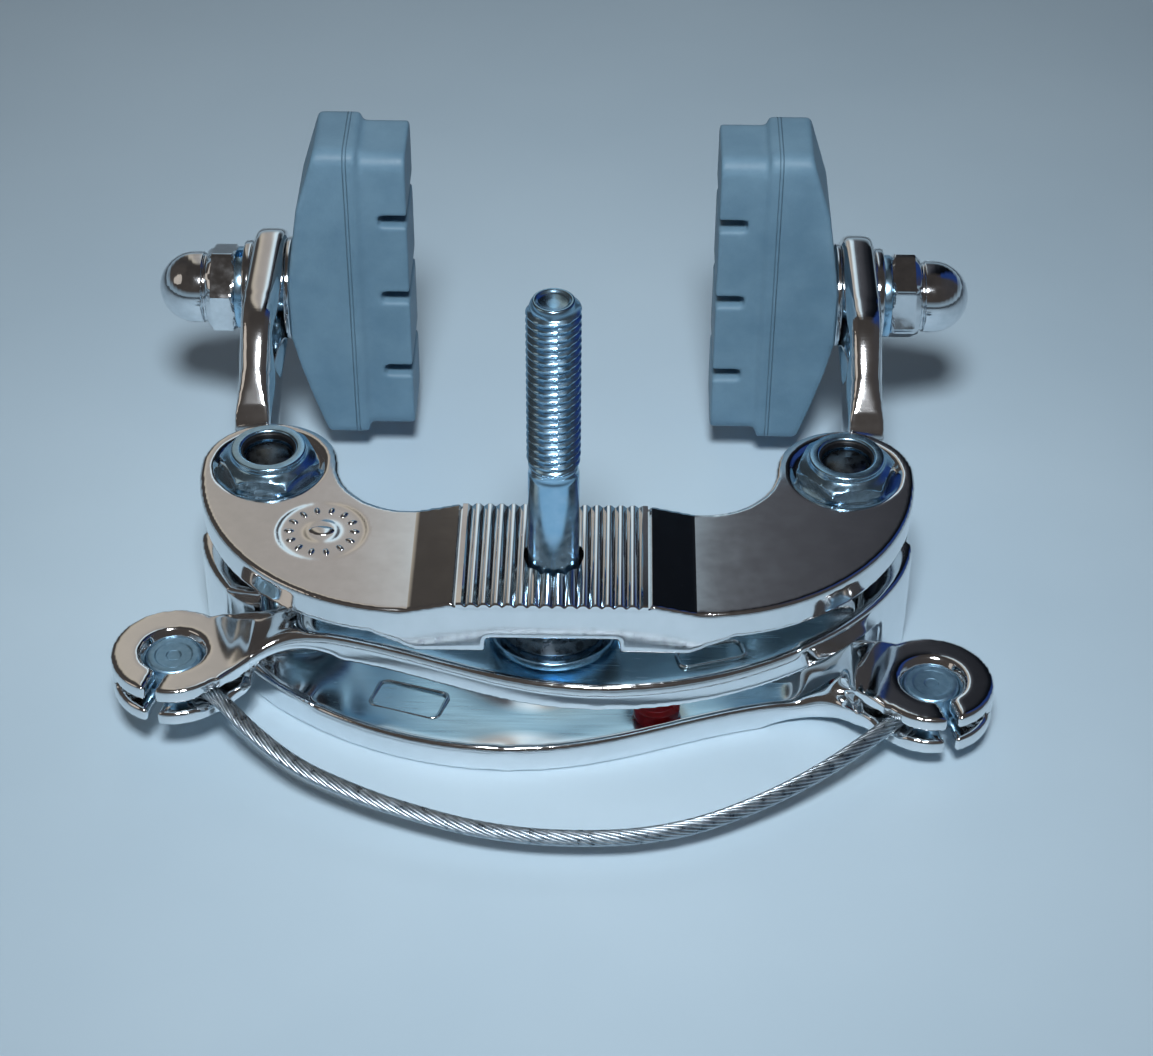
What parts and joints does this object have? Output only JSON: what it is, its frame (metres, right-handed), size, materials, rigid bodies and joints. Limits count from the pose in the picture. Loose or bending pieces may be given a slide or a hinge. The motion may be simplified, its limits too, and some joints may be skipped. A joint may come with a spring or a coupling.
{
  "type": "centre-pull brake caliper",
  "caption": "Centre-pull bicycle brake: bridge with mounting bolt, crossed arms on side pivots, slotted legs with shoes, straddle cable.",
  "frame": {"origin": "on the mounting bolt's axis, at the tops of the bridge's serrations, where the frame bears", "axes": "+Z along the mounting bolt, out of the bridge; +X across the brake, from the left pivot to the right pivot; +Y from the bolt towards the brake shoes"},
  "size_m": [0.1026, 0.0864, 0.0576],
  "materials": {
    "polished_alloy": "mirror polished",
    "zinc_steel": "bright zinc plated",
    "chromed_steel": "chrome plated",
    "spring_steel": "plated wire",
    "dark_steel": "dark plated",
    "wire_rope": "stranded galvanised wire",
    "bronze": "sintered bronze",
    "grey_rubber": "moulded, matt",
    "black_plastic": "moulded nylon",
    "red_plastic": "moulded, glossy"
  },
  "bodies": {
    "bridge_body": {"bridge": "polished_alloy", "mounting_bolt": "zinc_steel", "mounting_washer": "dark_steel", "left_pivot_bolt": "dark_steel", "right_pivot_bolt": "dark_steel", "left_pivot_nut": "zinc_steel", "right_pivot_nut": "zinc_steel", "left_nut_insert": "black_plastic", "right_nut_insert": "black_plastic", "left_spring_bush": "black_plastic", "right_spring_bush": "black_plastic", "left_spring": "spring_steel", "right_spring": "spring_steel", "left_thrust_washer": "zinc_steel", "right_thrust_washer": "zinc_steel", "straddle_cable": "wire_rope"},
    "left_arm_body": {"left_arm": "polished_alloy", "left_pivot_bush": "bronze", "red_button": "red_plastic"},
    "right_arm_body": {"right_arm": "polished_alloy", "right_pivot_bush": "bronze"},
    "left_nipple_body": {"left_nipple": "zinc_steel"},
    "right_nipple_body": {"right_nipple": "zinc_steel"},
    "left_clamp": {"left_inner_washer": "chromed_steel", "left_outer_washer": "chromed_steel"},
    "right_clamp": {"right_inner_washer": "chromed_steel", "right_outer_washer": "chromed_steel"},
    "left_shoe": {"left_pad": "grey_rubber", "left_stud": "zinc_steel", "left_lock_washer": "zinc_steel", "left_cap_nut": "chromed_steel"},
    "right_shoe": {"right_pad": "grey_rubber", "right_stud": "zinc_steel", "right_lock_washer": "zinc_steel", "right_cap_nut": "chromed_steel"}
  },
  "joints": [
    {"name": "right_arm_pivot", "type": "hinge", "parent": "bridge_body", "child": "right_arm_body", "pos_m": [0.0338, 0.0172, -0.016], "axis": [0, 0, 1], "range_deg": [0, 14], "stiffness_Nm_per_rad": 0.5, "springref_deg": -28.65, "deforming": ["right_spring", "straddle_cable"]},
    {"name": "left_arm_pivot", "type": "hinge", "parent": "bridge_body", "child": "left_arm_body", "pos_m": [-0.0338, 0.0172, -0.016], "axis": [0, 0, 1], "range_deg": [-14, 0], "stiffness_Nm_per_rad": 0.5, "springref_deg": 28.65, "deforming": ["left_spring"]},
    {"name": "left_nipple_turn", "type": "hinge", "parent": "right_arm_body", "child": "left_nipple_body", "pos_m": [-0.0434, -0.0037, -0.01465], "axis": [0, 0, 1], "range_deg": [-15, 15]},
    {"name": "right_nipple_turn", "type": "hinge", "parent": "left_arm_body", "child": "right_nipple_body", "pos_m": [0.0434, -0.0037, -0.01725], "axis": [0, 0, 1], "range_deg": [-15, 15]},
    {"name": "left_shoe_slide", "type": "slide", "parent": "left_arm_body", "child": "left_clamp", "axis": [0, 1, 0], "range_m": [-0.012, 0.001]},
    {"name": "right_shoe_slide", "type": "slide", "parent": "right_arm_body", "child": "right_clamp", "axis": [0, 1, 0], "range_m": [-0.012, 0.001]},
    {"name": "left_shoe_turn", "type": "hinge", "parent": "left_clamp", "child": "left_shoe", "pos_m": [-0.0371, 0.052, 0], "axis": [1, 0, 0], "range_deg": [-15, 15]},
    {"name": "right_shoe_turn", "type": "hinge", "parent": "right_clamp", "child": "right_shoe", "pos_m": [0.0371, 0.052, 0], "axis": [1, 0, 0], "range_deg": [-15, 15]}
  ],
  "couplings": [
    {"joint": "left_arm_pivot", "follows": "right_arm_pivot", "ratio": -1}
  ]
}
